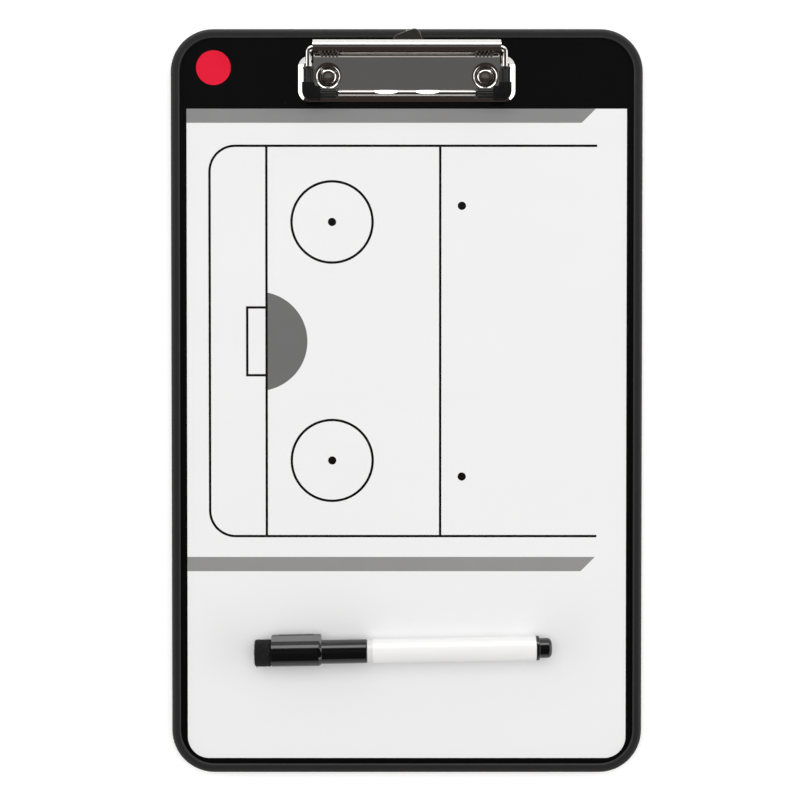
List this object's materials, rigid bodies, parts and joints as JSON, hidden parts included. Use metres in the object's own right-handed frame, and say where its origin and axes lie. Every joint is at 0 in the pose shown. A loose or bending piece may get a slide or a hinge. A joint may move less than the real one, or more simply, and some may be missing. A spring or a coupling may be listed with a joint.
{
  "type": "tactics board",
  "caption": "Flat coach's tactics board with round corners, soft edge trim, a printed rink field, a sprung wire-bail clip with a hanging eyelet, and a capped dry-erase marker.",
  "frame": {"origin": "under the middle of the board, on the surface that its back lies on", "axes": "+X to the right and +Y towards the clip as the printed face is read, +Z out of the face"},
  "size_m": [0.221, 0.349, 0.0184],
  "materials": {
    "trim": "matte soft vinyl",
    "core": "raw dark hardboard edge, hidden",
    "front_print": "gloss dry-erase film over print",
    "back_film": "gloss dry-erase film, plain",
    "plated_steel": "bright nickel plate",
    "spring_steel": "drawn spring wire",
    "eyelet_steel": "plated strip, dulled by handling",
    "clip_rubber": "ribbed black rubber",
    "pen_white": "gloss white moulding",
    "pen_pale": "satin off-white moulding",
    "pen_black": "gloss black moulding",
    "nib_fibre": "bonded fibre soaked in ink",
    "ink_fibre": "fibre rod soaked in ink",
    "felt": "pressed black felt",
    "magnet": "sintered ferrite bar"
  },
  "bodies": {
    "board": {"core_panel": "core", "front_sheet": "front_print", "back_sheet": "back_film", "edge_trim": "trim", "clip_base": "plated_steel", "rivet_left": "plated_steel", "rivet_right": "plated_steel", "torsion_spring_left": "spring_steel", "torsion_spring_right": "spring_steel", "hanger_stud": "plated_steel"},
    "bail": {"bail_wire": "plated_steel", "bail_corner_left": "clip_rubber", "bail_corner_right": "clip_rubber"},
    "hanger": {"hanger_tab": "eyelet_steel"},
    "marker": {"marker_barrel": "pen_white", "marker_collar": "pen_pale", "marker_nib": "nib_fibre", "ink_reservoir": "ink_fibre", "marker_plug": "pen_black"},
    "cap": {"marker_cap": "pen_black", "cap_magnet": "magnet", "eraser_felt": "felt"}
  },
  "joints": [
    {"name": "bail_open", "type": "hinge", "parent": "board", "child": "bail", "pos_m": [0, 0.16435, 0.01095], "axis": [-1, 0, 0], "range_deg": [0, 100], "stiffness_Nm_per_rad": 0.12, "springref_deg": -91.67, "deforming": ["torsion_spring_left", "torsion_spring_right"]},
    {"name": "hanger_slide", "type": "slide", "parent": "board", "child": "hanger", "axis": [-0.342, 0.9397, 0], "range_m": [0, 0.013]},
    {"name": "marker_lift", "type": "slide", "parent": "board", "child": "marker", "axis": [0, 0, 1], "range_m": [0, 0.06]},
    {"name": "cap_pull", "type": "slide", "parent": "marker", "child": "cap", "axis": [-0.9998, -0.0168, 0.0067], "range_m": [0, 0.028]}
  ]
}
